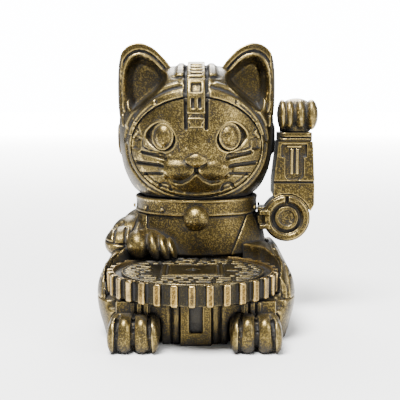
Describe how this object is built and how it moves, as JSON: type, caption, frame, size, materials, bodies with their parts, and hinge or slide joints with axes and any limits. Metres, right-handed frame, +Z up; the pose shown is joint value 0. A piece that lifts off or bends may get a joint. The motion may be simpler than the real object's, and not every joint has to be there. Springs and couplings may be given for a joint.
{
  "type": "beckoning cat figurine",
  "caption": "Small cast brass beckoning cat with panelled armour, one raised paw on an elbow pivot, a turning head and a spinning coin on its lap.",
  "frame": {"origin": "on the resting plane, under the neck axis", "axes": "+Z up, the cat faces -Y, the cat's own left (the raised arm) is +X"},
  "size_m": [0.0353, 0.0458, 0.0453],
  "materials": {
    "antique_brass": "sand-cast brass, antiqued dark in the recesses and rubbed bright on the edges",
    "polished_brass": "antiqued brass rubbed brighter than its surroundings",
    "coin_brass": "warm brass with grey-green patina in the grooves",
    "dark_steel": "blackened steel pins and screws"
  },
  "bodies": {
    "body": {"base_casting": "antique_brass", "base_plate": "antique_brass", "base_plate_screws": "dark_steel", "foot_left": "antique_brass", "foot_right": "antique_brass", "shin_guard_left": "antique_brass", "shin_guard_right": "antique_brass", "thigh_plate_left": "antique_brass", "thigh_plate_right": "antique_brass", "front_hatch_panel": "antique_brass", "hatch_shutter": "dark_steel", "tail": "antique_brass", "coin_spindle": "dark_steel", "coin_thrust_washer": "dark_steel", "torso": "antique_brass", "torso_bolt": "dark_steel", "chest_plate_left": "antique_brass", "chest_plate_right": "antique_brass", "back_vent_panel": "antique_brass", "collar_band": "polished_brass", "collar_rivets": "antique_brass", "bell": "polished_brass", "upper_arm_right": "antique_brass", "forearm_cuff_right": "antique_brass", "paw_right": "antique_brass", "shoulder_dowel": "dark_steel", "upper_arm_left": "antique_brass", "elbow_hub_cap": "polished_brass", "elbow_pin": "dark_steel", "neck_pivot_screw": "dark_steel", "neck_wave_washer": "dark_steel"},
    "head": {"head_shell": "antique_brass", "face_mask": "antique_brass", "eye_left": "polished_brass", "eye_right": "polished_brass", "nose": "polished_brass", "brow_band_left": "antique_brass", "brow_band_right": "antique_brass", "crest_strap": "antique_brass", "temple_cap_left": "antique_brass", "temple_cap_right": "antique_brass", "ear_left": "antique_brass", "ear_right": "antique_brass", "ear_cup_left": "antique_brass", "ear_cup_right": "antique_brass"},
    "raised_forearm": {"forearm_left": "antique_brass", "forearm_rods": "antique_brass", "wrist_ring": "antique_brass", "paw_left": "antique_brass"},
    "coin": {"coin_disc": "coin_brass", "coin_inlay": "coin_brass"}
  },
  "joints": [
    {"name": "head_turn", "type": "hinge", "parent": "body", "child": "head", "pos_m": [0, 0, 0.0195], "axis": [0, 0, 1], "range_deg": [-35, 35]},
    {"name": "elbow_swing", "type": "hinge", "parent": "body", "child": "raised_forearm", "pos_m": [0.0151, -0.0009, 0.01604], "axis": [0, 1, 0], "range_deg": [0, 60]},
    {"name": "coin_spin", "type": "hinge", "parent": "body", "child": "coin", "pos_m": [-0.0005, -0.0192, 0.0087], "axis": [0, 0, 1], "continuous": true}
  ]
}
